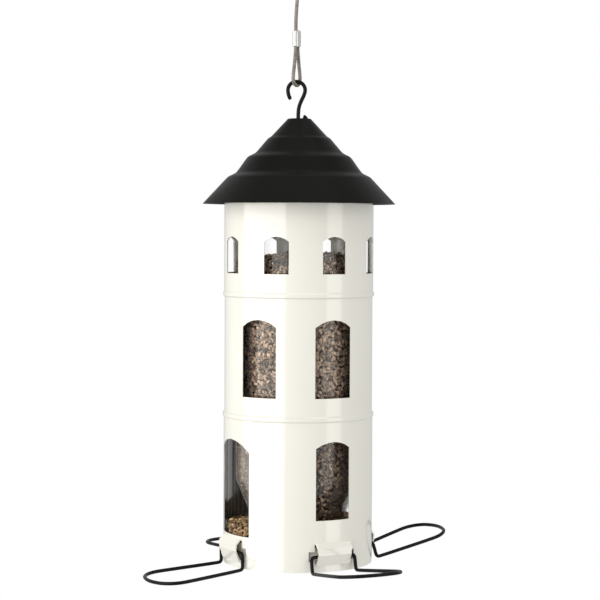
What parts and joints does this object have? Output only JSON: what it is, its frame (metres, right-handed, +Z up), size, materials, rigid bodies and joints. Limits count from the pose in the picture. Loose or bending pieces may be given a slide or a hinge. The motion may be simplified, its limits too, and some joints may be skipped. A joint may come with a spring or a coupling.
{
  "type": "hanging bird feeder",
  "caption": "Hanging bird feeder shaped as a round tower with arched windows, a stepped cone roof, a clear seed container and fold-up wire perches, on a hook and a cable.",
  "frame": {"origin": "inside top of the cable's upper loop, where the part hangs from whatever holds it, on the tower's axis", "axes": "+Z up along the tower's axis; the large feeding ports face +X and -X, the low windows +Y and -Y; the hook lies in a vertical plane turned -28 degrees from the XZ plane"},
  "size_m": [0.2756, 0.2767, 0.5387],
  "materials": {
    "tower_paint": "gloss powder coat, cream white",
    "tray_paint": "gloss powder coat, cream white",
    "clear_plastic": "clear, gloss",
    "seed": "dry hulls, satin",
    "roof_paint": "satin powder coat, black",
    "wire_paint": "satin, black",
    "cable_coat": "braided steel under a grey-brown coat",
    "ferrule_metal": "bright, crimped"
  },
  "bodies": {
    "cable": {"cable": "cable_coat", "ferrule_lower": "ferrule_metal", "ferrule_upper": "ferrule_metal"},
    "hook": {"hook": "wire_paint"},
    "tower": {"tower_shell": "tower_paint", "base_tray": "tray_paint", "seed_container": "clear_plastic", "seed_column": "seed", "seed_pile": "seed", "bail": "wire_paint"},
    "roof": {"roof": "roof_paint"},
    "perch_right": {"perch_right": "wire_paint"},
    "perch_back": {"perch_back": "wire_paint"},
    "perch_left": {"perch_left": "wire_paint"},
    "perch_front": {"perch_front": "wire_paint"}
  },
  "joints": [
    {"name": "hook_swing", "type": "hinge", "parent": "cable", "child": "hook", "pos_m": [-0.00212, 0.00113, -0.1296], "axis": [0.8829, -0.4695, 0], "range_deg": [-30, 30]},
    {"name": "feeder_swing", "type": "hinge", "parent": "hook", "child": "tower", "pos_m": [0.00221, -0.00117, -0.1618], "axis": [-0.4695, -0.8829, 0], "range_deg": [-20, 20]},
    {"name": "roof_lift", "type": "slide", "parent": "tower", "child": "roof", "axis": [0, 0, 1], "range_m": [0, 0.012]},
    {"name": "perch_right_fold", "type": "hinge", "parent": "tower", "child": "perch_right", "pos_m": [0.0612, 0, -0.5152], "axis": [0, -1, 0], "range_deg": [-19.4, 65.6]},
    {"name": "perch_back_fold", "type": "hinge", "parent": "tower", "child": "perch_back", "pos_m": [0, 0.0612, -0.5152], "axis": [1, 0, 0], "range_deg": [-3.9, 81.1]},
    {"name": "perch_left_fold", "type": "hinge", "parent": "tower", "child": "perch_left", "pos_m": [-0.0612, 0, -0.5152], "axis": [0, 1, 0], "range_deg": [-0.5, 84.5]},
    {"name": "perch_front_fold", "type": "hinge", "parent": "tower", "child": "perch_front", "pos_m": [0, -0.0612, -0.5152], "axis": [-1, 0, 0], "range_deg": [-12.8, 72.2]}
  ]
}
